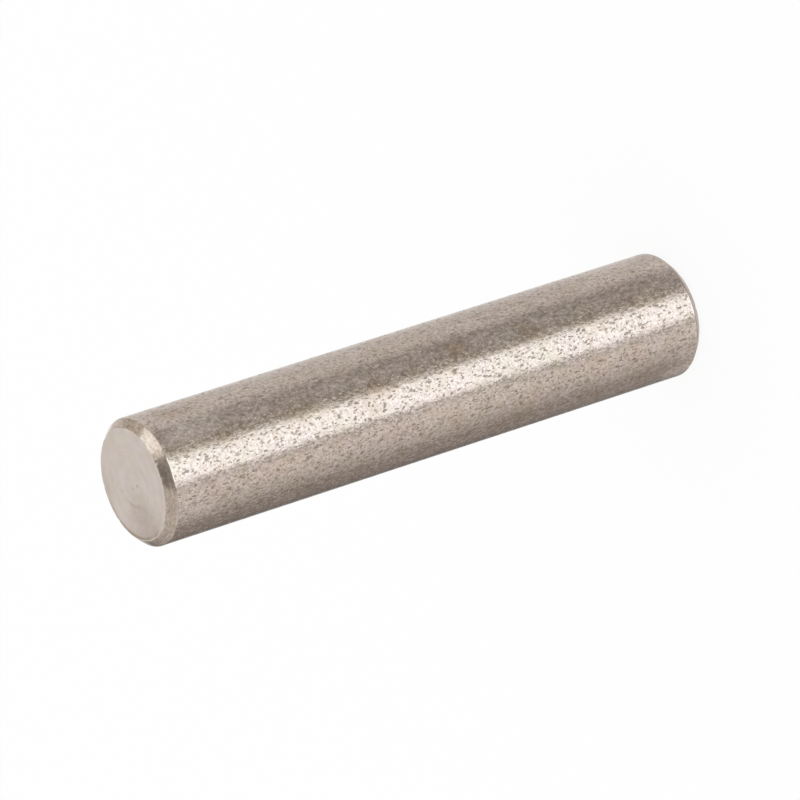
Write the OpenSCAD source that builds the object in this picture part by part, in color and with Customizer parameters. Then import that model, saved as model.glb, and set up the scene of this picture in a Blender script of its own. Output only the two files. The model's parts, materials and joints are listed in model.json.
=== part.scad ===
// Solid piston pin: one ground steel cylinder, chamfered at both ends.
// The pin stands on one end face, with its axis on Z and the origin at that face's centre.

/* [Pin] */
// Diameter of the ground body, which runs in the piston and the connecting rod
pin_d = 8; // [4:0.5:16]
// Length from one end face to the other
pin_l = 40; // [20:1:80]

/* [Chamfers] */
// How much smaller the end face's radius is than the body's
chamfer_w = 0.5; // [0.2:0.05:1.5]
// How far each chamfer reaches along the pin
chamfer_l = 0.55; // [0.2:0.05:1.5]

/* [Edges] */
// Radius tumbled onto the edge between the body and each chamfer
body_edge_r = 0.15; // [0.05:0.05:0.4]
// Radius tumbled onto the edge between each chamfer and its end face
face_edge_r = 0.1; // [0.02:0.01:0.2]

/* [Hidden] */
pin_r = pin_d / 2;
edge_steps = 6;      // straight pieces in each rounded edge
round_facets = 128;  // facets of the turned shape in a preview

function unit(v) = v / norm(v);

// The direction of a point seen from a centre, in degrees
function bearing(centre, p) = atan2(p.y - centre.y, p.x - centre.x);

// The points of an arc of radius r that rounds the corner b of the path a, b, c
function rounded_corner(a, b, c, r) =
    let (
        back = unit(a - b),
        ahead = unit(c - b),
        half_angle = acos(back * ahead) / 2,
        centre = b + unit(back + ahead) * r / sin(half_angle),
        reach = r / tan(half_angle),
        first = bearing(centre, b + back * reach),
        last = bearing(centre, b + ahead * reach)
    )
    [for (i = [0:edge_steps])
        let (angle = first + (last - first) * i / edge_steps)
        centre + r * [cos(angle), sin(angle)]];

// One end's outline as [radius, height above the pin's middle], from the axis out to the body
function end_outline() =
    let (
        face_z = pin_l / 2,
        face_centre = [0, face_z],
        face_corner = [pin_r - chamfer_w, face_z],
        body_corner = [pin_r, face_z - chamfer_l],
        waist = [pin_r, 0]
    )
    concat(
        [face_centre],
        rounded_corner(face_centre, face_corner, body_corner, face_edge_r),
        rounded_corner(face_corner, body_corner, waist, body_edge_r)
    );

function reversed(points) = [for (i = [len(points) - 1:-1:0]) points[i]];

// Both ends' outlines joined along the body: the other end is the first one's mirror image
function pin_outline() =
    concat(end_outline(), reversed([for (p = end_outline()) [p.x, -p.y]]));

module piston_pin() {
    color([0.76, 0.72, 0.68])
        translate([0, 0, pin_l / 2])
            rotate_extrude($fn = round_facets)
                polygon(pin_outline());
}

piston_pin();
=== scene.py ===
"""A solid steel piston pin that stands on its end: a ground, finely pitted wall between two turned
chamfers, and two faced ends. The pin is one surface of revolution, from the axis at its upper end to
the axis at its lower end, with the larger pits cut into it. The finer marks are in its materials."""

import json
import math

import bpy
import numpy as np
from mathutils import Matrix, Vector


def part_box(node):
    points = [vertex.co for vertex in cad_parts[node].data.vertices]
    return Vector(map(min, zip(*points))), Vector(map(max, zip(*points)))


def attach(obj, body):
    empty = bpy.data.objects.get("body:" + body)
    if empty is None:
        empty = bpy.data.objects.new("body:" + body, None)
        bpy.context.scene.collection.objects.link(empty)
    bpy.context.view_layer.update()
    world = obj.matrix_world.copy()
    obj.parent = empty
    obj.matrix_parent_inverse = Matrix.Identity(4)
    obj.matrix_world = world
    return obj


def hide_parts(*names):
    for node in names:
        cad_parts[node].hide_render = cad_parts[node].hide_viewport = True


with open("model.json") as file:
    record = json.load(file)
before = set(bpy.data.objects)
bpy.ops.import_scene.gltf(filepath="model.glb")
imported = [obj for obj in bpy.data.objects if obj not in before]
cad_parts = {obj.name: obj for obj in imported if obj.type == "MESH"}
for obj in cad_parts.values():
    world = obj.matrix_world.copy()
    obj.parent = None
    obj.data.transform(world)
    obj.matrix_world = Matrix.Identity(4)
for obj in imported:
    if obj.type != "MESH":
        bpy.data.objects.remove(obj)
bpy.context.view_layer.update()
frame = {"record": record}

MM = 0.001

# The pin's size comes from the frame, and its edges repeat the part's own values.
journal = next(m for m in frame["record"]["mounts"] if m["name"] == "journal")
pin_low, pin_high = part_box("piston_pin")
PIN_R = journal["dims"]["r_mm"] * MM
PIN_L = pin_high.z - pin_low.z
PIN_MIDDLE = (pin_low + pin_high) / 2
CHAMFER_W = 0.5 * MM
CHAMFER_L = 0.55 * MM
BODY_EDGE_R = 0.15 * MM
FACE_EDGE_R = 0.1 * MM

# The mesh's grid: columns round the pin, rows of quads along the wall, each face and each chamfer, points
# along each rounded edge, and how far from an edge its guard row lies.
COLUMNS = 300
WALL_ROWS = 278
FACE_ROWS = 6
CHAMFER_ROWS = 3
EDGE_ROWS = 7
GUARD = 0.03 * MM

# The mesh's zones, which are its material slots.
GROUND, TURNED, FACED = range(3)

# The seeds of the three random fields that shape the wall and the edges.
PIT_SEED, WAVE_SEED, EDGE_SEED = 11, 12, 13

# The pits cut into the wall: their spread along the pin and round it in millimetres, between which levels
# of their field they deepen, how many times wider the stretch is over which they are spread evenly, and how
# deep they are.
PIT_SPREAD = (0.13, 0.066)
PIT_LEVELS = (1.6, 2.3)
PIT_EVENNESS = 2.5
PIT_DEPTH = 0.012 * MM

# The waves that grinding left on the wall: their spread in millimetres, and their height.
WAVE_SPREAD = (0.9, 0.45)
WAVE_HEIGHT = 0.0006 * MM

# The worn edges: how far they reach to either side, over what length in millimetres they wobble and by how
# much at the face's edge and at the body's, and the nicks in the face's edge: direction from -Y towards +X
# in degrees, then width and depth in millimetres.
EDGE_REACH = 0.08 * MM
WOBBLE_SPREAD = 0.16
FACE_EDGE_WOBBLE = 0.004 * MM
BODY_EDGE_WOBBLE = 0.0015 * MM
NICKS = [
    (13, 0.14, 0.035), (-4, 0.12, 0.03), (33, 0.14, 0.02), (-38, 0.16, 0.02), (-62, 0.22, 0.03),
    (-74, 0.16, 0.03), (128, 0.18, 0.03), (-150, 0.2, 0.03),
]

# The steel's colours: three finishes, the dark of pits, marks and painted shade, drifts, stains and painted
# shade, worn edges and painted sheen, and painted sheen.
GROUND_COLOR = (0.694, 0.594, 0.541, 1.0)
TURNED_COLOR = (0.684, 0.575, 0.489, 1.0)
FACED_COLOR = (0.629, 0.561, 0.524, 1.0)
DARK_AND_SHADE_COLOR = (0.335, 0.27, 0.22)
BROWN_STEEL = (0.655, 0.52, 0.42)
OLIVE_STEEL = (0.61, 0.56, 0.44)
STAIN_AND_SHADE_COLOR = (0.42, 0.29, 0.17)
WORN_SHEEN_STEEL = (0.84, 0.75, 0.68)
SHEEN_STEEL = (0.90, 0.79, 0.72)

# The steel's slow drifts: each one's colour, and its noise's scale and seed. A drift sets in between two
# levels of its noise, and each finish takes its own share of it.
DRIFTS = [(BROWN_STEEL, 1.0, 1.0), (OLIVE_STEEL, 0.85, 6.0)]
DRIFT_LEVELS = (0.46, 0.66)
GROUND_DRIFT = 0.5
TURNED_DRIFT = 0.5
FACED_DRIFT = 0.45

# The width of the square that the mesh's own map fills, and the space between its pieces.
BAKE_SQUARE = 41.5 * MM
BAKE_MARGIN = 0.4 * MM

# The camera looks at the pin from its -Y side and from above, through a long lens. It aims a little off
# the pin's middle.
CAMERA_DISTANCE = 381.78 * MM
CAMERA_PITCH = math.radians(31.35)
CAMERA_ROLL = math.radians(-17.87)
CAMERA_LENS_MM = 281.25
CAMERA_SENSOR_MM = 36.0
CAMERA_CLIP = (0.01, 20.0)
AIM_RIGHT = -0.3775 * MM
AIM_DOWN = 0.2126 * MM


# ---------------------------------------------------------------- the pin's mesh


def unit(way):
    """The way's direction: the way divided by its length."""
    return way / np.linalg.norm(way)


def rounded_corner(before, corner, after, radius, count):
    """Points of an arc that rounds the corner of the path before, corner, after: the arc's centre lies on
    the corner's bisector, and its ends are where it touches the two straight sides."""
    back = unit(before - corner)
    ahead = unit(after - corner)
    half_angle = math.acos(float(back @ ahead)) / 2
    centre = corner + unit(back + ahead) * radius / math.sin(half_angle)
    ends = [corner + side * radius / math.tan(half_angle) - centre for side in (back, ahead)]
    first, last = (math.atan2(end[1], end[0]) for end in ends)
    angles = np.linspace(first, last, count)
    return centre + radius * np.stack([np.cos(angles), np.sin(angles)], axis=1)


def straight(start, end, count):
    """The points between start and end that cut that line into count equal parts, without its two ends."""
    shares = np.linspace(0, 1, count + 1)[1:-1, None]
    return start + (end - start) * shares


def end_outline():
    """One end's outline as rows of (radius, depth below the end face), from the face's innermost ring out to
    the straight wall, its two corners, and how many rows of quads are the face's and the chamfer's. The
    chamfer has both rounded edges. A guard row beside each edge keeps its rounded shading off the flats."""
    face_centre = np.array([0.0, 0.0])
    face_corner = np.array([PIN_R - CHAMFER_W, 0.0])
    body_corner = np.array([PIN_R, CHAMFER_L])
    waist = np.array([PIN_R, PIN_L / 2])
    face_edge = rounded_corner(face_centre, face_corner, body_corner, FACE_EDGE_R, EDGE_ROWS)
    body_edge = rounded_corner(face_corner, body_corner, waist, BODY_EDGE_R, EDGE_ROWS)
    down = unit(body_corner - face_corner)
    face_guard = face_edge[0] - [GUARD, 0]
    inner_guard = face_edge[-1] + GUARD * down
    outer_guard = body_edge[0] - GUARD * down
    wall_guard = body_edge[-1] + [0, GUARD]
    face = np.vstack([straight(face_centre, face_guard, FACE_ROWS), face_guard])
    chamfer = np.vstack([inner_guard, straight(inner_guard, outer_guard, CHAMFER_ROWS), outer_guard])
    rows = np.vstack([face, face_edge, chamfer, body_edge, wall_guard])
    chamfer_rows = 2 * EDGE_ROWS + len(chamfer) - 1
    return rows, (face_corner, body_corner), (len(face), chamfer_rows)


def speckle(seed, shape, spacing, spread, evenness=None):
    """A random field on the grid with no mean and unit spread: white noise smoothed by a bell curve of that
    spread along each way. The smoothing multiplies the noise's spectrum by the bell's own, so the field
    closes on itself round the pin. With an evenness, what a bell that many times wider would keep is taken
    away, so that high places don't crowd together."""
    white = np.random.default_rng(seed).standard_normal(shape)
    along = np.fft.fftfreq(shape[0], spacing[0])[:, None] * spread[0]
    around = np.fft.fftfreq(shape[1], spacing[1])[None, :] * spread[1]
    bell = np.exp(-2 * np.pi**2 * (along**2 + around**2))
    if evenness:
        bell *= 1 - np.exp(-2 * np.pi**2 * evenness**2 * (along**2 + around**2))
    field = np.fft.ifft2(np.fft.fft2(white) * bell).real
    return field / field.std()


def smooth_step(value, low, high):
    """0 below low, 1 above high, and the cubic 3t^2 - 2t^3 between them."""
    t = np.clip((value - low) / (high - low), 0, 1)
    return t * t * (3 - 2 * t)


def wall_relief(depths, angles):
    """How far each point of the wall lies below the true cylinder, and how much of a pit it is, from 0 to 1.
    Pits are where an evened speckle field, longer along the pin, rises through its levels, and they deepen
    there by a smooth step. A second, wider field gives the gentle waves that the grinding left."""
    shape = (len(depths), len(angles))
    spacing = ((depths[1] - depths[0]) / MM, 2 * math.pi * PIN_R / len(angles) / MM)
    pits = smooth_step(speckle(PIT_SEED, shape, spacing, PIT_SPREAD, PIT_EVENNESS), *PIT_LEVELS)
    waves = speckle(WAVE_SEED, shape, spacing, WAVE_SPREAD)
    return PIT_DEPTH * pits + WAVE_HEIGHT * waves, pits


def edge_wear_and_sheen(rows, corner):
    """How much of a worn edge each row is, which also sets the share of the edges' painted sheen: a bell
    curve of its distance from the corner.
    """
    return np.exp(-((np.linalg.norm(rows - corner, axis=1) / EDGE_REACH) ** 2))


def edge_relief(rows, corners, angles):
    """How far each point of an end moves, as (radius, depth). Wear bites into both edges along the line that
    halves the corner: unevenly all the way round, as the square of a speckle field, and at the face's edge
    in nicks shaped as bell curves."""
    face_corner, body_corner = corners
    spacing = (1.0, 2 * math.pi * PIN_R / len(angles) / MM)
    wobbles = speckle(EDGE_SEED, (2, len(angles)), spacing, (0.0, WOBBLE_SPREAD))
    nicks = np.zeros(len(angles))
    for direction, width, depth in NICKS:
        off = (angles - math.radians(direction - 90) + np.pi) % (2 * np.pi) - np.pi
        nicks += depth * MM * np.exp(-((off * PIN_R / (width / 2 * MM)) ** 2))
    down = unit(body_corner - face_corner)
    face_bite = wobbles[0] ** 2 * FACE_EDGE_WOBBLE + nicks
    body_bite = wobbles[1] ** 2 * BODY_EDGE_WOBBLE
    moved = np.zeros((len(rows), len(angles), 2))
    for corner, sides, bite in (
        (face_corner, ([-1, 0], down), face_bite),
        (body_corner, (-down, [0, 1]), body_bite),
    ):
        inward = unit(sides[0] + unit(sides[1]))
        moved += edge_wear_and_sheen(rows, corner)[:, None, None] * bite[None, :, None] * inward
    return moved


def lay_out(mesh, outline, angles, face_rows):
    """The mesh's own map, OFBake, in a square BAKE_SQUARE wide. The wall and the chamfers are one upright
    sheet: across it runs the way round the pin, and down it the length along the outline. Each end is a
    disc beside the sheet, laid out by X and Y. The map's corners follow the order of join_rings."""
    travel = np.insert(np.cumsum(np.linalg.norm(np.diff(outline, axis=0), axis=1)), 0, 0)
    rings, columns = len(outline), len(angles)
    turns = np.arange(columns + 1) / columns
    across = BAKE_MARGIN + 2 * math.pi * PIN_R * turns
    down = BAKE_MARGIN + travel[rings - 1 - face_rows] - travel
    corners = np.empty((rings, columns + 1, 2))
    corners[..., 0] = across
    corners[..., 1] = down[:, None]
    around = np.append(angles, angles[0])
    face_radii = outline[:face_rows + 1, 0]
    disc_x = across[-1] + BAKE_MARGIN + PIN_R
    top_middle = np.array([disc_x, BAKE_MARGIN + PIN_R])
    bottom_middle = np.array([disc_x, 2 * BAKE_MARGIN + 3 * PIN_R])
    top = face_radii[:, None, None] * np.stack([np.cos(around), np.sin(around)], axis=1) + top_middle
    bottom = face_radii[::-1, None, None] * np.stack([-np.cos(around), np.sin(around)], axis=1)
    bottom = bottom + bottom_middle
    cells = np.concatenate([top[:-1], corners[face_rows:rings - 1 - face_rows], bottom[:-1]])
    below = np.concatenate([top[1:], corners[face_rows + 1:rings - face_rows], bottom[1:]])
    quads = np.stack([cells[:, :-1], below[:, :-1], below[:, 1:], cells[:, 1:]], axis=2)
    top_fan = np.stack([np.broadcast_to(top_middle, (columns, 2)), top[0, :-1], top[0, 1:]], axis=1)
    bottom_fan = np.stack(
        [np.broadcast_to(bottom_middle, (columns, 2)), bottom[-1, 1:], bottom[-1, :-1]], axis=1
    )
    flat = np.concatenate([quads.ravel(), top_fan.ravel(), bottom_fan.ravel()]) / BAKE_SQUARE
    layer = mesh.uv_layers.new(name="OFBake")
    layer.data.foreach_set("uv", flat.astype(np.float32))


def join_rings(rings):
    """The mesh's faces as lists of point numbers: quads from ring to ring, then the upper fan and the lower
    one. The rings' points come first, and the upper and the lower pole last."""
    ids = np.arange(rings * COLUMNS).reshape(rings, COLUMNS)
    beside = np.roll(ids, -1, axis=1)
    quads = np.stack([ids[:-1], ids[1:], beside[1:], beside[:-1]], axis=2).reshape(-1, 4)
    top_pole, bottom_pole = rings * COLUMNS, rings * COLUMNS + 1
    top_fan = np.stack([np.full(COLUMNS, top_pole), ids[0], beside[0]], axis=1)
    bottom_fan = np.stack([np.full(COLUMNS, bottom_pole), beside[-1], ids[-1]], axis=1)
    return quads.tolist() + top_fan.tolist() + bottom_fan.tolist()


def face_slots(rings, face_rows, chamfer_rows):
    """The material slot of each face of the mesh, in the order of join_rings."""
    end = np.repeat([FACED, TURNED], [face_rows, chamfer_rows])
    zones = np.full(rings - 1, GROUND)
    zones[:len(end)] = end
    zones[-len(end):] = end[::-1]
    return np.concatenate([np.repeat(zones, COLUMNS), np.full(2 * COLUMNS, FACED)])


def pin_mesh():
    """The pin's mesh: rings of points round Z, one for each row of the outline, joined by quads and closed
    at both ends by a fan round a point on the axis. Ring k's points are (r cos a, r sin a, z)."""
    rows, corners, (face_rows, chamfer_rows) = end_outline()
    edge_rows = len(rows)
    wall_depths = np.linspace(rows[-1, 1], PIN_L - rows[-1, 1], WALL_ROWS + 1)[1:-1]
    wall = np.stack([np.full(len(wall_depths), PIN_R), wall_depths], axis=1)
    lower = rows[::-1] * [1, -1] + [0, PIN_L]
    outline = np.vstack([rows, wall, lower])
    angles = np.arange(COLUMNS) * 2 * math.pi / COLUMNS

    moved = np.zeros((len(outline), COLUMNS, 2))
    pits = np.zeros((len(outline), COLUMNS))
    on_wall = slice(edge_rows, edge_rows + len(wall))
    sunk, pits[on_wall] = wall_relief(wall_depths, angles)
    moved[on_wall, :, 0] = -sunk
    moved[:edge_rows] = edge_relief(rows, corners, angles)
    moved[-edge_rows:] = moved[edge_rows - 1::-1] * [1, -1]

    radius, depth = np.moveaxis(outline[:, None] + moved, 2, 0)
    ring_points = np.stack(
        [radius * np.cos(angles), radius * np.sin(angles), pin_high.z - depth], axis=2
    )
    poles = [[0, 0, pin_high.z], [0, 0, pin_low.z]]
    points = np.vstack([ring_points.reshape(-1, 3), poles])

    mesh = bpy.data.meshes.new("piston_pin_finished")
    mesh.from_pydata(points.tolist(), [], join_rings(len(outline)))
    mesh.polygons.foreach_set("use_smooth", np.ones(len(mesh.polygons), bool))
    slots = face_slots(len(outline), face_rows, chamfer_rows)
    mesh.polygons.foreach_set("material_index", slots.astype(np.int32))

    # This share of worn edge also sets how much painted sheen the edges take.
    worn = edge_wear_and_sheen(rows, corners[0]) + edge_wear_and_sheen(rows, corners[1])
    edge = np.concatenate([worn, np.zeros(len(wall)), worn[::-1]])
    edge = np.broadcast_to(edge[:, None], pits.shape)
    at_poles = [0, 0]
    for name, values in (("pit", pits), ("edge", edge)):
        layer = mesh.attributes.new(name, "FLOAT", "POINT")
        layer.data.foreach_set("value", np.append(values.ravel(), at_poles).astype(np.float32))

    lay_out(mesh, outline, angles, face_rows)
    mesh.validate()
    mesh.update()
    return mesh


# ---------------------------------------------------------------- shader tools


def add(tree, kind, inputs=None, **settings):
    """A new node of that kind, with its settings made first. Each input takes a plain value, or a link where
    a socket is given."""
    made = tree.nodes.new(kind)
    for name, value in settings.items():
        setattr(made, name, value)
    for name, value in (inputs or {}).items():
        if isinstance(value, bpy.types.NodeSocket):
            tree.links.new(value, made.inputs[name])
        else:
            made.inputs[name].default_value = value
    return made


def compute(tree, operation, first, second=0.0, third=0.0):
    """The result of one Math node."""
    return add(tree, "ShaderNodeMath", {0: first, 1: second, 2: third}, operation=operation).outputs[0]


def total(tree, *terms):
    """The sum of values, each given as (value, weight)."""
    result = 0.0
    for value, weight in terms:
        result = compute(tree, "MULTIPLY_ADD", value, weight, result)
    return result


def ramp(tree, value, low, high, to_low=0.0, to_high=1.0, kind="SMOOTHSTEP"):
    """The value carried smoothly from the range low to high onto the range to_low to to_high."""
    inputs = {"Value": value, "From Min": low, "From Max": high, "To Min": to_low, "To Max": to_high}
    return add(tree, "ShaderNodeMapRange", inputs, interpolation_type=kind).outputs["Result"]


def blend(tree, share, first, second):
    """The first colour where the share is 0, and the second where it is 1."""
    made = add(tree, "ShaderNodeMix", {0: share}, data_type="RGBA")
    for socket, value in ((made.inputs[6], first), (made.inputs[7], second)):
        if isinstance(value, bpy.types.NodeSocket):
            tree.links.new(value, socket)
        else:
            socket.default_value = (*value, 1.0)
    return made.outputs[2]


def noise(tree, place, scale, detail=2.0, seed=0.0):
    """Four-dimensional noise from 0 to 1, where the seed is the fourth coordinate."""
    inputs = {"Vector": place, "W": seed, "Scale": scale, "Detail": detail}
    return add(tree, "ShaderNodeTexNoise", inputs, noise_dimensions="4D").outputs[0]


def shortened(tree, vector, stretch):
    """The vector with its Z part divided by the stretch, so that what follows it is longer along the pin."""
    parts = add(tree, "ShaderNodeCombineXYZ", {0: 1.0, 1: 1.0, 2: compute(tree, "DIVIDE", 1.0, stretch)})
    inputs = {0: vector, 1: parts.outputs[0]}
    return add(tree, "ShaderNodeVectorMath", inputs, operation="MULTIPLY").outputs[0]


def new_group(name, inputs, outputs):
    """An empty shader group with these named sockets. Each is (name, kind, default), or (name, kind)."""
    group = bpy.data.node_groups.new(name, "ShaderNodeTree")
    for way, sockets in (("INPUT", inputs), ("OUTPUT", outputs)):
        for label, kind, *default in sockets:
            socket = group.interface.new_socket(label, in_out=way, socket_type="NodeSocket" + kind)
            if default:
                socket.default_value = default[0]
    return group, group.nodes.new("NodeGroupInput").outputs, group.nodes.new("NodeGroupOutput").inputs


def use(tree, group, inputs):
    """The outputs of one placing of a shader group."""
    return add(tree, "ShaderNodeGroup", inputs, node_tree=group).outputs


# ---------------------------------------------------------------- shader groups


def place_group():
    """Where a point of the pin is, in millimetres: its place, its distance from the axis and its height."""
    group, _, out = new_group(
        "place_in_mm", [], [("Place", "Vector"), ("Radius", "Float"), ("Height", "Float")]
    )
    at = add(group, "ShaderNodeTexCoord").outputs["Object"]
    place = add(group, "ShaderNodeVectorMath", {0: at, "Scale": 1 / MM}, operation="SCALE").outputs[0]
    split = add(group, "ShaderNodeSeparateXYZ", {0: place}).outputs
    x_square, y_square = (compute(group, "POWER", split[axis], 2.0) for axis in "XY")
    squares = compute(group, "ADD", x_square, y_square)
    group.links.new(place, out["Place"])
    group.links.new(compute(group, "SQRT", squares), out["Radius"])
    group.links.new(split["Z"], out["Height"])
    return group


def cell_noise_group():
    """Noise whose cells have a size in millimetres and are longer along the pin than round it."""
    group, given, out = new_group(
        "cell_noise",
        [("Place", "Vector"), ("Cell", "Float"), ("Stretch", "Float"), ("Seed", "Float")],
        [("Level", "Float")],
    )
    placed = shortened(group, given["Place"], given["Stretch"])
    scale = compute(group, "DIVIDE", 1.0, given["Cell"])
    group.links.new(noise(group, placed, scale, detail=1.5, seed=given["Seed"]), out["Level"])
    return group


def grooves_group():
    """Fine turning lines: noise that changes only with the distance across the lines, so that each line runs
    all the way round, with a little unevenness in how deep it is."""
    group, given, out = new_group(
        "turning_lines",
        [("Place", "Vector"), ("Across", "Float"), ("Pitch", "Float")],
        [("Height", "Float")],
    )
    lines = compute(group, "DIVIDE", given["Across"], given["Pitch"])
    fine = add(group, "ShaderNodeTexNoise", {"W": lines, "Scale": 1.0, "Detail": 2.0},
               noise_dimensions="1D").outputs[0]
    uneven = ramp(group, noise(group, given["Place"], 0.9), 0.35, 0.65, 0.3, 1.0)
    group.links.new(compute(group, "MULTIPLY", fine, uneven), out["Height"])
    return group


def tone_group():
    """The steel's colour with slow drifts towards a browner and a greener grey, each where its noise is
    high."""
    group, given, out = new_group(
        "steel_tone",
        [("Place", "Vector"), ("Steel", "Color"), ("Drift", "Float")],
        [("Color", "Color")],
    )
    color = given["Steel"]
    for drifted, scale, seed in DRIFTS:
        share = ramp(group, noise(group, given["Place"], scale, detail=4.0, seed=seed), *DRIFT_LEVELS)
        color = blend(group, compute(group, "MULTIPLY", share, given["Drift"]), color, drifted)
    group.links.new(color, out["Color"])
    return group


def soft_patch_group():
    """A soft patch, used for stains, for painted sheen and painted shade, and for other patches: 1 at its
    centre and 0 past its reach, with an edge that noise makes ragged. Its reach along the pin is longer than
    its reach round it."""
    group, given, out = new_group(
        "soft_patch",
        [("Place", "Vector"), ("Centre", "Vector"), ("Reach", "Float"), ("Stretch", "Float", 1.6),
         ("Raggedness", "Float", 1.6)],
        [("Stain", "Float")],
    )
    away = add(group, "ShaderNodeVectorMath", {0: given["Place"], 1: given["Centre"]},
               operation="SUBTRACT").outputs[0]
    away = shortened(group, away, given["Stretch"])
    far = add(group, "ShaderNodeVectorMath", {0: away}, operation="LENGTH").outputs["Value"]
    far = compute(group, "DIVIDE", far, given["Reach"])
    ragged = compute(group, "SUBTRACT", noise(group, given["Place"], 2.2, detail=4.0, seed=3.0), 0.5)
    far = compute(group, "ADD", far, compute(group, "MULTIPLY", ragged, given["Raggedness"]))
    group.links.new(ramp(group, far, 0.15, 1.0, 1.0, 0.0), out["Stain"])
    return group


def wear_and_sheen_group():
    """Worn edges with a painted sheen: the colour with a brighter steel over it, by the mesh's own measure
    of wear; this lightening is partly wear and partly a painted highlight along the edges.
    """
    group, given, out = new_group(
        "edge_wear_and_sheen",
        [("Color", "Color"), ("Strength", "Float")],
        [("Color", "Color")],
    )
    edge = add(group, "ShaderNodeAttribute", attribute_name="edge").outputs["Fac"]
    share = compute(group, "MULTIPLY", edge, given["Strength"])
    group.links.new(blend(group, share, given["Color"], WORN_SHEEN_STEEL), out["Color"])
    return group


PLACE = place_group()
CELL_NOISE = cell_noise_group()
GROOVES = grooves_group()
TONE = tone_group()
SOFT_PATCH = soft_patch_group()
WEAR_AND_SHEEN = wear_and_sheen_group()


# ---------------------------------------------------------------- the pin's materials


# The wall's noises: how large their cells are in millimetres, how many times longer they are along the pin,
# and a seed. Both kinds of small pits are where their noise passes through its range of levels.
WIDE_PITS, WIDE_LEVELS = (0.175, 1.9, 1.0), (0.60, 0.67)
SMALL_PITS, SMALL_LEVELS = (0.115, 1.8, 5.0), (0.585, 0.685)
MOTTLE = (0.17, 1.7, 2.0)
OIL_FILM = (0.22, 1.5, 12.0)
STREAKS = (0.14, 3.0, 8.0)

# The shading's relief on the wall, in millimetres: how deep the two kinds of small pits are, how high the
# grain and the streaks rise, and the share by which all but the streaks is stronger where pits are deeper.
WIDE_PIT_DEPTH = 0.0068
SMALL_PIT_DEPTH = 0.0042
GRAIN_HEIGHT = 0.0045
STREAK_HEIGHT = 0.0045
DEEPER_SHARE = 0.3

# How much of the dark colour the wall takes: inside any pit, more in a pit that is cut, more where pits are
# deeper, and in the mottle, the film and the grain. In pits this darkness is partly their own darker floor
# and partly painted shade. Where the grain stands highest it takes less, and there the wall carries painted
# glints.
PIT_DARK_AND_SHADE = 0.45
CUT_PIT_DARK_AND_SHADE = 0.16
DEEPER_PIT_DARK_AND_SHADE = 0.13
MOTTLE_DARK = 0.51
FILM_DARK = 0.25
GRAIN_DARK = 0.25
GRAIN_GLINT = 0.24

# How much of that darkness stays in the patches of painted sheen, and how much of the brighter steel the
# edges show, which is partly wear and partly a painted highlight.
SHEEN_DARK_KEPT = 0.45
WALL_EDGE_WEAR_AND_SHEEN = 0.5
CHAMFER_EDGE_WEAR_AND_SHEEN = 0.18

# How rough the wall is on its lands and in its pits, and how much the mottle adds.
LAND_ROUGHNESS = 0.15
PIT_ROUGHNESS = 0.5
MOTTLE_ROUGHNESS = 0.14

# The chamfers: how far apart their turning lines are, their blotches, which run round the pin and are given
# as the wall's noises are, the relief of their marks in millimetres, how dark those marks are, and how rough
# the steel is from the grain's lowest places to its highest.
CHAMFER_PITCH = 0.1
BLOTCHES = (0.32, 0.4, 7.0)
CHAMFER_LINE_HEIGHT = 0.0025
CHAMFER_GRAIN_HEIGHT = 0.004
CHAMFER_WAVE_HEIGHT = 0.03
CHAMFER_LINE_DARK = 0.25
CHAMFER_GRAIN_DARK = 0.3
BLOTCH_DARK = 0.34
CHAMFER_ROUGHNESS = (0.2, 0.1)

# The end faces: how far apart their fine rings and their broad rings are and the radius of a bright broad
# ring, in millimetres, the relief of both, how dark they and the mottle are, how much of the broad rings
# stays where the face is rubbed, and how rough the satin ground is.
FACE_PITCH = 0.14
BROAD_PITCH = 0.75
BRIGHT_RING = 1.25
FACE_LINE_HEIGHT = 0.0075
BROAD_RING_HEIGHT = 0.0008
FACE_LINE_DARK = 0.11
BROAD_RING_DARK = 0.06
FACE_MOTTLE_DARK = 0.05
RUBBED_RINGS = 0.15
FACE_ROUGHNESS = 0.42

# Oily brown stains on the wall, and two patches of painted shade near its upper end: height above the lower
# end and direction from -Y towards +X in degrees, then reach in millimetres and strength.
STAINS_AND_SHADE = [
    (18.0, 28, 0.9, 0.6),
    (37.2, 57, 1.0, 0.4),
    (24.0, 15, 1.0, 0.34),
    (24.9, 0, 0.9, 0.35),
    (29.8, 17, 1.3, 0.25),
    (12.4, 22, 0.8, 0.5),
    # These two are painted shade along the upper edge of the bright reflected band.
    (37.6, 17, 1.0, 0.3),
    (35.2, 17, 1.0, 0.28),
    (4.2, 24, 1.3, 0.2),
    (14.6, -53, 1.5, 0.26),
    (8.8, -60, 1.5, 0.26),
    (3.8, -60, 1.6, 0.28),
]

# Patches of painted sheen: painted highlights that make the wall lighter there, given as the stains are.
SHEEN_PATCHES = [
    (0.7, -69, 2.0, 1.0),
    (38.0, -46, 1.5, 0.4),
    (37.2, 30, 1.8, 0.55),
    (0.8, 44, 1.5, 0.4),
    (4.4, 70, 2.3, 0.36),
]

# Three bands along the wall, with a film of old oil, with deeper pits and with shallower ones: each one's
# middle direction, and how far to either side it fades out and is full, in degrees.
OIL_BAND = (29, 18, 11)
PITTED_BAND = (-34, 26, 14)
SMOOTH_BAND = (68, 32, 14)

# Patches of the wall where the pits are deeper: height, direction and reach, given as the stains have them.
PITTED_PATCHES = [(25.6, 2, 2.6), (10.4, 2, 2.2)]

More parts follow.
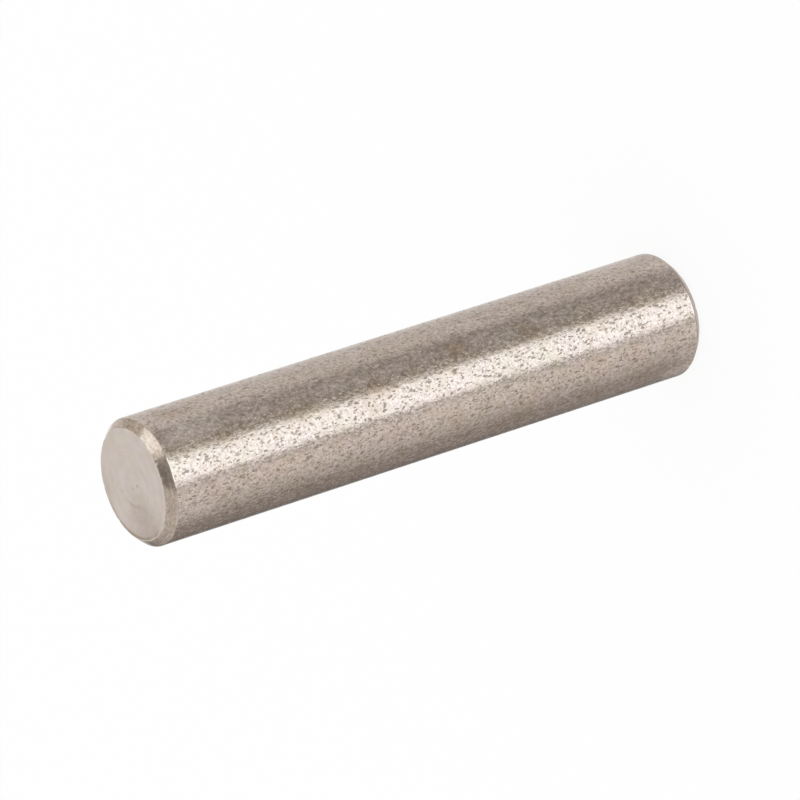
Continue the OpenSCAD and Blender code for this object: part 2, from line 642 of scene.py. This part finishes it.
# Small dark marks on the upper face: place in X and Y, reach and strength, then the radius of the ring that
# the mark lies along, or 0 for a spot. Lengths are in millimetres. The last mark is a painted shadow along
# the rim between its -X and +Y sides.
FACE_MARKS_AND_SHADOW = [
    ((-0.16, -0.47), 0.17, 0.75, 0),
    ((-0.25, 0.14), 0.16, 0.28, 0),
    ((-0.2, 1.45), 0.18, 0.2, 0),
    ((-1.25, 0.66), 1.1, 0.36, 1.40),
    # A painted shadow along the rim.
    ((-2.98, 1.58), 3.6, 0.85, 3.37),
]

# How far from its ring such a mark is still full, and where it ends, in millimetres.
RING_MARK_EDGE = (0.03, 0.17)

# Where rubbing has all but worn the broad rings off the face: place in X and Y and reach, in millimetres.
# This patch and the patches of painted shade are as long as they are wide, with smoother edges than the
# wall's stains have.
RUBBED_FACE = ((1.8, 0.3), 3.6)
ROUND_SHAPE = {"Stretch": 1.0, "Raggedness": 0.6}

# Painted shade on the upper face, soft dark patches that make it darker towards its -X side and near its +Y
# rim: place in X and Y and reach in millimetres, then strength.
FACE_SHADE_PATCHES = [
    ((-1.4, 0.0), 1.6, 0.2),
    ((-2.2, 0.8), 1.8, 0.12),
    ((-3.6, -0.2), 3.0, 0.46),
    ((0.4, 3.9), 2.2, 0.22),
]


def new_material(name):
    """An empty material with a Principled shader for bare metal, its tree and that shader's inputs."""
    material = bpy.data.materials.new(name)
    material.use_nodes = True
    tree = material.node_tree
    tree.nodes.clear()
    surface = add(tree, "ShaderNodeBsdfPrincipled", {"Metallic": 1.0})
    add(tree, "ShaderNodeOutputMaterial", {"Surface": surface.outputs[0]})
    return material, tree, surface.inputs


def on_wall(height, direction):
    """The point of the wall at that height and direction, in millimetres."""
    turn = math.radians(direction)
    return (PIN_R / MM * math.sin(turn), -PIN_R / MM * math.cos(turn), height)


def on_face(centre):
    """The point of the upper face at that X and Y, in millimetres."""
    return (*centre, PIN_L / MM)


def cell_noise(tree, at, cell, stretch, seed):
    """The level of the cell noise at a place."""
    return use(tree, CELL_NOISE, {"Place": at, "Cell": cell, "Stretch": stretch, "Seed": seed})["Level"]


def soft_patch(tree, at, centre, reach, **shape):
    """How much of a soft patch there is at a place, from 0 to 1. Its stretch and its raggedness may be
    given.
    """
    return use(tree, SOFT_PATCH, {"Place": at, "Centre": centre, "Reach": reach, **shape})["Stain"]


def emboss(tree, surface, relief):
    """Raises the surface's shading by the relief, which is in millimetres."""
    bump = add(tree, "ShaderNodeBump", {"Height": relief, "Distance": MM, "Strength": 1.0})
    tree.links.new(bump.outputs[0], surface["Normal"])


def wall_band(tree, at, middle, faint, full):
    """1 along a band of the wall and 0 beside it, by the cosine of the angle to its middle."""
    along = add(tree, "ShaderNodeVectorMath", {0: at, 1: on_wall(0, middle)}, operation="DOT_PRODUCT")
    low, high = ((PIN_R / MM) ** 2 * math.cos(math.radians(angle)) for angle in (faint, full))
    return ramp(tree, along.outputs["Value"], low, high)


def ground_steel():
    """The wall: smooth ground lands with pits of three sizes, rougher inside and darker, partly by painted
    shade, and a fine grain whose highest places carry painted glints. It has a few oily stains, two patches
    of painted shade, patches of painted sheen, edges lightened by wear and a painted highlight, a band of
    old oil, and zones of deeper or shallower pits."""
    material, tree, surface = new_material("ground_steel")
    at = use(tree, PLACE, {})["Place"]
    color = use(tree, TONE, {"Place": at, "Steel": GROUND_COLOR, "Drift": GROUND_DRIFT})["Color"]
    # Stains, two of them painted shade.
    for height, direction, reach, strength in STAINS_AND_SHADE:
        share = compute(tree, "MULTIPLY", soft_patch(tree, at, on_wall(height, direction), reach), strength)
        color = blend(tree, share, color, STAIN_AND_SHADE_COLOR)
    # The patches of painted sheen: painted highlights that lighten parts of the wall.
    rubbed = 0.0
    for height, direction, reach, strength in SHEEN_PATCHES:
        patch = soft_patch(tree, at, on_wall(height, direction), reach, Raggedness=1.0)
        rubbed = compute(tree, "MAXIMUM", rubbed, compute(tree, "MULTIPLY", patch, strength))
    color = blend(tree, rubbed, color, SHEEN_STEEL)
    cut = add(tree, "ShaderNodeAttribute", attribute_name="pit").outputs["Fac"]
    wide = ramp(tree, cell_noise(tree, at, *WIDE_PITS), *WIDE_LEVELS)
    small = ramp(tree, cell_noise(tree, at, *SMALL_PITS), *SMALL_LEVELS)
    pit = compute(tree, "MAXIMUM", compute(tree, "MAXIMUM", wide, small), cut)
    mottle = cell_noise(tree, at, *MOTTLE)
    film = cell_noise(tree, at, *OIL_FILM)
    streaks = cell_noise(tree, at, *STREAKS)
    grain = noise(tree, at, 6.5, detail=1.2, seed=2.0)
    oily = wall_band(tree, at, *OIL_BAND)
    pitted = wall_band(tree, at, *PITTED_BAND)
    smooth = wall_band(tree, at, *SMOOTH_BAND)
    deeper = total(tree, (pitted, 1.0), (smooth, -1.0))
    for height, direction, reach in PITTED_PATCHES:
        deeper = compute(tree, "ADD", deeper, soft_patch(tree, at, on_wall(height, direction), reach))
    sunk = total(tree, (wide, -WIDE_PIT_DEPTH), (small, -SMALL_PIT_DEPTH), (grain, GRAIN_HEIGHT))
    sunk_deeper = compute(tree, "MULTIPLY", sunk, deeper)
    emboss(tree, surface, total(tree, (sunk, 1.0), (sunk_deeper, DEEPER_SHARE), (streaks, STREAK_HEIGHT)))
    film_dark = ramp(tree, film, 0.3, 0.7, FILM_DARK, -FILM_DARK, "LINEAR")
    dark = total(
        tree,
        # Darker in pits: partly their own darker floor, partly painted shade in the hollows.
        (pit, PIT_DARK_AND_SHADE),
        (cut, CUT_PIT_DARK_AND_SHADE),
        (compute(tree, "MULTIPLY", pit, deeper), DEEPER_PIT_DARK_AND_SHADE),
        (compute(tree, "MULTIPLY", oily, film_dark), 1.0),
        (ramp(tree, mottle, 0.32, 0.68, MOTTLE_DARK, 0.0, "LINEAR"), 1.0),
        (ramp(tree, grain, 0.35, 0.6, GRAIN_DARK, 0.0), 1.0),
        # Painted glints where the grain stands highest.
        (ramp(tree, grain, 0.53, 0.68, 0.0, -GRAIN_GLINT), 1.0),
    )
    dark = compute(tree, "MULTIPLY", dark, ramp(tree, rubbed, 0.0, 1.0, 1.0, SHEEN_DARK_KEPT, "LINEAR"))
    color = blend(tree, dark, color, DARK_AND_SHADE_COLOR)
    # Lighter edges: partly wear, partly a painted highlight.
    color = use(tree, WEAR_AND_SHEEN, {"Color": color, "Strength": WALL_EDGE_WEAR_AND_SHEEN})["Color"]
    tree.links.new(color, surface["Base Color"])
    rough = ramp(tree, pit, 0.0, 1.0, LAND_ROUGHNESS, PIT_ROUGHNESS)
    rough = total(tree, (rough, 1.0), (ramp(tree, mottle, 0.42, 0.66), MOTTLE_ROUGHNESS))
    tree.links.new(rough, surface["Roughness"])
    return material


def turned_steel():
    """The chamfers: turning lines that run round the pin, and edges that wear has polished, with a painted
    highlight on them.
    """
    material, tree, surface = new_material("turned_steel")
    place = use(tree, PLACE, {})
    at = place["Place"]
    color = use(tree, TONE, {"Place": at, "Steel": TURNED_COLOR, "Drift": TURNED_DRIFT})["Color"]
    lines = use(tree, GROOVES, {"Place": at, "Across": place["Height"], "Pitch": CHAMFER_PITCH})["Height"]
    grain = noise(tree, at, 6.0, detail=3.0, seed=4.0)
    wave = noise(tree, at, 1.6, detail=1.0, seed=9.0)
    blotch = cell_noise(tree, at, *BLOTCHES)
    marks = ((lines, CHAMFER_LINE_HEIGHT), (grain, CHAMFER_GRAIN_HEIGHT), (wave, CHAMFER_WAVE_HEIGHT))
    emboss(tree, surface, total(tree, *marks))
    dark = total(
        tree,
        (ramp(tree, lines, 0.2, 0.5, CHAMFER_LINE_DARK, 0.0), 1.0),
        (ramp(tree, blotch, 0.36, 0.62, BLOTCH_DARK, 0.0), 1.0),
        (ramp(tree, grain, 0.34, 0.6, CHAMFER_GRAIN_DARK, 0.0), 1.0),
    )
    color = blend(tree, dark, color, DARK_AND_SHADE_COLOR)
    # Lighter edges: partly wear, partly a painted highlight.
    color = use(tree, WEAR_AND_SHEEN, {"Color": color, "Strength": CHAMFER_EDGE_WEAR_AND_SHEEN})["Color"]
    tree.links.new(color, surface["Base Color"])
    tree.links.new(ramp(tree, grain, 0.3, 0.7, *CHAMFER_ROUGHNESS), surface["Roughness"])
    return material


def faced_steel():
    """The end faces: fine and broad turning rings round the axis on a satin ground, a few dark marks, one of
    them a painted shadow along the rim, and soft patches of painted shade that darken the face towards its
    -X side."""
    material, tree, surface = new_material("faced_steel")
    place = use(tree, PLACE, {})
    at = place["Place"]
    color = use(tree, TONE, {"Place": at, "Steel": FACED_COLOR, "Drift": FACED_DRIFT})["Color"]
    lines = use(tree, GROOVES, {"Place": at, "Across": place["Radius"], "Pitch": FACE_PITCH})["Height"]
    turn = 2 * math.pi / BROAD_PITCH
    phase = compute(tree, "MULTIPLY_ADD", place["Radius"], turn, -turn * BRIGHT_RING)
    broad = compute(tree, "COSINE", phase)
    centre, reach = RUBBED_FACE
    rubbed = soft_patch(tree, at, on_face(centre), reach, **ROUND_SHAPE)
    broad = compute(tree, "MULTIPLY", broad, ramp(tree, rubbed, 0.0, 1.0, 1.0, RUBBED_RINGS, "LINEAR"))
    mottle = noise(tree, at, 3.0, detail=4.0, seed=8.0)
    emboss(tree, surface, total(tree, (lines, FACE_LINE_HEIGHT), (broad, BROAD_RING_HEIGHT)))
    dark = total(
        tree,
        (ramp(tree, lines, 0.15, 0.5, FACE_LINE_DARK, 0.0), 1.0),
        (ramp(tree, broad, -1.0, 1.0, BROAD_RING_DARK, 0.0), 1.0),
        (ramp(tree, mottle, 0.35, 0.6, FACE_MOTTLE_DARK, 0.0), 1.0),
    )
    # The last of these marks is a painted shadow along the rim.
    for centre, reach, strength, ring in FACE_MARKS_AND_SHADOW:
        spot = soft_patch(tree, at, on_face(centre), reach)
        if ring:
            off = compute(tree, "ABSOLUTE", compute(tree, "SUBTRACT", place["Radius"], ring))
            spot = compute(tree, "MULTIPLY", spot, ramp(tree, off, *RING_MARK_EDGE, 1.0, 0.0))
        dark = total(tree, (dark, 1.0), (spot, strength))
    color = blend(tree, dark, color, DARK_AND_SHADE_COLOR)
    # Patches of painted shade that darken the face towards its -X side.
    for centre, reach, strength in FACE_SHADE_PATCHES:
        film = soft_patch(tree, at, on_face(centre), reach, **ROUND_SHAPE)
        color = blend(tree, compute(tree, "MULTIPLY", film, strength), color, DARK_AND_SHADE_COLOR)
    tree.links.new(color, surface["Base Color"])
    surface["Roughness"].default_value = FACE_ROUGHNESS
    return material


# ---------------------------------------------------------------- the studio

# How bright the studio is round the pin at the height that its wall reflects, by the direction in degrees
# from -Y towards +X, with its tint, which is warmer on one side.
ROUND_LEVELS = [
    (-180, 0.78), (-172, 0.65), (-165, 0.47), (-158, 0.12), (-148, 0.24), (-138, 0.295), (-124, 0.365),
    (-108, 0.35), (-100, 0.505), (-84, 0.70), (-64, 0.855), (-44, 1.05), (-28, 0.71), (26, 0.46), (44, 0.41),
    (54, 0.54), (70, 0.42), (76, 0.48), (84, 0.69), (92, 0.79), (108, 0.825), (132, 0.80), (156, 0.84),
    (165, 0.97), (173, 0.91), (180, 0.48),
]
ROUND_TINT = (1.0, 0.985, 0.975)
WARM_SIDE = (-156, -104)
WARM_TINT = (1.0, 0.92, 0.883)
UNDER = (0.36, 0.35, 0.34)
WHITE = (1.0, 1.0, 1.0)
PLAIN_LIGHT = (*WHITE, 1.0)

# The heights in degrees between which those levels give way, to white above and to UNDER below.
SKY_FADE = (-12, 14)
UNDER_FADE = (-56, -46)

# The floor's half width in metres, its own colour, and how much of it plain white takes over where it is
# seen.
FLOOR_HALF = 2.0
FLOOR_COLOR = (0.95, 0.95, 0.95, 1.0)
FLOOR_WHITE = 0.9

# Soft panels and dark flags, each laid over those before it: direction, height, half width, half height
# and softness in degrees, then colour times brightness.
PANELS = [
    ("front_skirt", 0, 18, 36, 30, 8, (0.42, 0.41, 0.40)),
    ("strip_edge", 32, -30, 11, 30, 5, (0.47, 0.45, 0.41)),
    ("front_strip", 1, -18, 23, 43, 4, (1.71, 1.83, 1.93)),
    ("strip_fringe", 24, -30, 3, 30, 3, (1.03, 1.03, 0.99)),
    ("strip_tail", 54, -19, 13, 8, 6, (0.62, 0.61, 0.60)),
    ("overhead", 0, 90, 181, 27, 10, (0.66, 0.65, 0.65)),
    ("right_wall", 108, 26, 14, 14, 6, (0.77, 0.74, 0.69)),
    ("left_floor", -130, -51, 24, 15, 5, (0.64, 0.62, 0.60)),
    ("right_horizon", 58, 10, 20, 20, 5, (1.35, 1.30, 1.26)),
    ("left_horizon", -84, 2, 49, 22, 6, (0.83, 0.79, 0.78)),
    ("back_floor", 180, -64, 75, 27, 5, (0.71, 0.69, 0.69)),
    ("right_floor", 135, -52, 25, 16, 4, (0.56, 0.545, 0.535)),
    ("right_edge", 131, -12, 16, 7, 5, (1.15, 1.12, 1.08)),
    ("dark_flag", 0, 62, 38, 26, 15, (0.375, 0.365, 0.355)),
    ("key_panel", 76, 50, 23.5, 22, 2, (1.38, 1.45, 1.51)),
    ("left_wall", -75, 48, 35, 20, 12, (0.70, 0.68, 0.68)),
    ("left_corner", -122, 16, 19, 18, 10, (0.66, 0.64, 0.64)),
    ("left_end", -148, 3, 12, 12, 8, (0.46, 0.44, 0.43)),
    ("left_top", -145, 47, 14, 14, 5, (0.86, 0.85, 0.84)),
    ("back_corner", 138, 12, 26, 18, 10, (0.80, 0.78, 0.77)),
    ("right_corner", 124, 18, 7, 11, 5, (0.56, 0.54, 0.51)),
]


def panel_group():
    """1 inside a soft-edged rectangle on the dome, and 0 outside it: the product of two smooth steps, one
    for the direction and one for the height."""
    group, given, out = new_group(
        "soft_panel",
        [("Direction", "Float"), ("Height", "Float"), ("Centre direction", "Float"),
         ("Centre height", "Float"), ("Half width", "Float"), ("Half height", "Float"),
         ("Softness", "Float")],
        [("Mask", "Float")],
    )
    masks = []
    for way, size in (("direction", "Half width"), ("height", "Half height")):
        offset = compute(group, "SUBTRACT", given[way.capitalize()], given["Centre " + way])
        offset = compute(group, "WRAP", offset, 180.0, -180.0)
        inside = compute(group, "SUBTRACT", given[size], compute(group, "ABSOLUTE", offset))
        low = compute(group, "MULTIPLY", given["Softness"], -1.0)
        masks.append(ramp(group, inside, low, given["Softness"]))
    group.links.new(compute(group, "MULTIPLY", *masks), out["Mask"])
    return group


def shown_rays(tree):
    """1 for the rays that show the background, the camera's and those that metal or glass sends on, and then
    1 for the camera's alone."""
    rays = add(tree, "ShaderNodeLightPath").outputs
    mirrored = compute(tree, "MAXIMUM", rays["Is Glossy Ray"], rays["Is Transmission Ray"])
    return compute(tree, "MAXIMUM", rays["Is Camera Ray"], mirrored), rays["Is Camera Ray"]


def studio():
    """The world: white for the camera. Metal and glass show it too, with the studio's levels and its soft
    panels in place of the plain white, and matt surfaces are lit by a plain light."""
    world = bpy.data.worlds.new("studio")
    world.use_nodes = True
    tree = world.node_tree
    tree.nodes.clear()
    way = add(tree, "ShaderNodeTexCoord").outputs["Generated"]
    split = add(tree, "ShaderNodeSeparateXYZ", {0: way}).outputs
    minus_y = compute(tree, "MULTIPLY", split["Y"], -1.0)
    direction = compute(tree, "DEGREES", compute(tree, "ARCTAN2", split["X"], minus_y))
    height = compute(tree, "DEGREES", compute(tree, "ARCSINE", split["Z"]))
    share = ramp(tree, direction, -180, 180, kind="LINEAR")
    levels = add(tree, "ShaderNodeValToRGB", {0: share})
    stops = levels.color_ramp.elements
    stops.remove(stops[1])
    for at, level in ROUND_LEVELS:
        stop = stops.new((at + 180) / 360)
        tint = WARM_TINT if WARM_SIDE[0] < at < WARM_SIDE[1] else ROUND_TINT
        stop.color = (*(level * part for part in tint), 1)
    stops.remove(stops[0])
    level = blend(tree, ramp(tree, height, *SKY_FADE), levels.outputs[0], WHITE)
    level = blend(tree, ramp(tree, height, *UNDER_FADE, 1.0, 0.0), level, UNDER)
    panel = panel_group()
    for name, centre, up, half_width, half_height, softness, bright in PANELS:
        inputs = {
            "Direction": direction, "Height": height, "Centre direction": centre, "Centre height": up,
            "Half width": half_width, "Half height": half_height, "Softness": softness,
        }
        mask = add(tree, "ShaderNodeGroup", inputs, node_tree=panel, label=name).outputs["Mask"]
        level = blend(tree, mask, level, bright)
    shown, seen = shown_rays(tree)
    level = blend(tree, seen, level, WHITE)
    light = add(tree, "ShaderNodeBackground", {"Color": PLAIN_LIGHT, "Strength": 1.0})
    background = add(tree, "ShaderNodeBackground", {"Color": level, "Strength": 1.0})
    both = add(tree, "ShaderNodeMixShader", {0: shown, 1: light.outputs[0], 2: background.outputs[0]})
    add(tree, "ShaderNodeOutputWorld", {"Surface": both.outputs[0]})
    bpy.context.scene.world = world


def floor():
    """A pale floor that the pin stands on. It keeps a part of the pin's soft shadow, and reflections look
    past it to the dome below."""
    mesh = bpy.data.meshes.new("floor")
    corners = [(x * FLOOR_HALF, y * FLOOR_HALF, 0) for x, y in ((-1, -1), (1, -1), (1, 1), (-1, 1))]
    mesh.from_pydata(corners, [], [(0, 1, 2, 3)])
    plane = bpy.data.objects.new("floor", mesh)
    bpy.context.scene.collection.objects.link(plane)
    plane.visible_glossy = False
    material = bpy.data.materials.new("pale_floor")
    material.use_nodes = True
    tree = material.node_tree
    tree.nodes.clear()
    matt = add(tree, "ShaderNodeBsdfDiffuse", {"Color": FLOOR_COLOR})
    glow = add(tree, "ShaderNodeEmission", {"Color": PLAIN_LIGHT, "Strength": 1.0})
    share = compute(tree, "MULTIPLY", shown_rays(tree)[0], FLOOR_WHITE)
    both = add(tree, "ShaderNodeMixShader", {0: share, 1: matt.outputs[0], 2: glow.outputs[0]})
    add(tree, "ShaderNodeOutputMaterial", {"Surface": both.outputs[0]})
    mesh.materials.append(material)
    return plane


def camera():
    """The camera at its pitch and roll. Its right, up and back axes are the columns of its turn."""
    cos_p, sin_p = math.cos(CAMERA_PITCH), math.sin(CAMERA_PITCH)
    cos_r, sin_r = math.cos(CAMERA_ROLL), math.sin(CAMERA_ROLL)
    ahead = Vector((0, cos_p, -sin_p))
    right = Vector((sin_r, -sin_p * cos_r, -cos_p * cos_r))
    down = Vector((-cos_r, -sin_p * sin_r, -cos_p * sin_r))
    place = PIN_MIDDLE - ahead * CAMERA_DISTANCE + right * AIM_RIGHT + down * AIM_DOWN
    turn = Matrix((right, -down, -ahead)).transposed()
    data = bpy.data.cameras.new("camera")
    data.lens = CAMERA_LENS_MM
    data.sensor_width = CAMERA_SENSOR_MM
    data.clip_start, data.clip_end = CAMERA_CLIP
    made = bpy.data.objects.new("camera", data)
    made.matrix_world = Matrix.Translation(place) @ turn.to_4x4()
    bpy.context.scene.collection.objects.link(made)
    bpy.context.scene.camera = made


# ---------------------------------------------------------------- put together

bpy.context.scene.view_settings.view_transform = "Standard"
camera()
studio()
floor()

pin = bpy.data.objects.new("piston_pin_finished", pin_mesh())
bpy.context.scene.collection.objects.link(pin)
for material in (ground_steel(), turned_steel(), faced_steel()):
    pin.data.materials.append(material)
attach(pin, "root")
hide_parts("piston_pin")
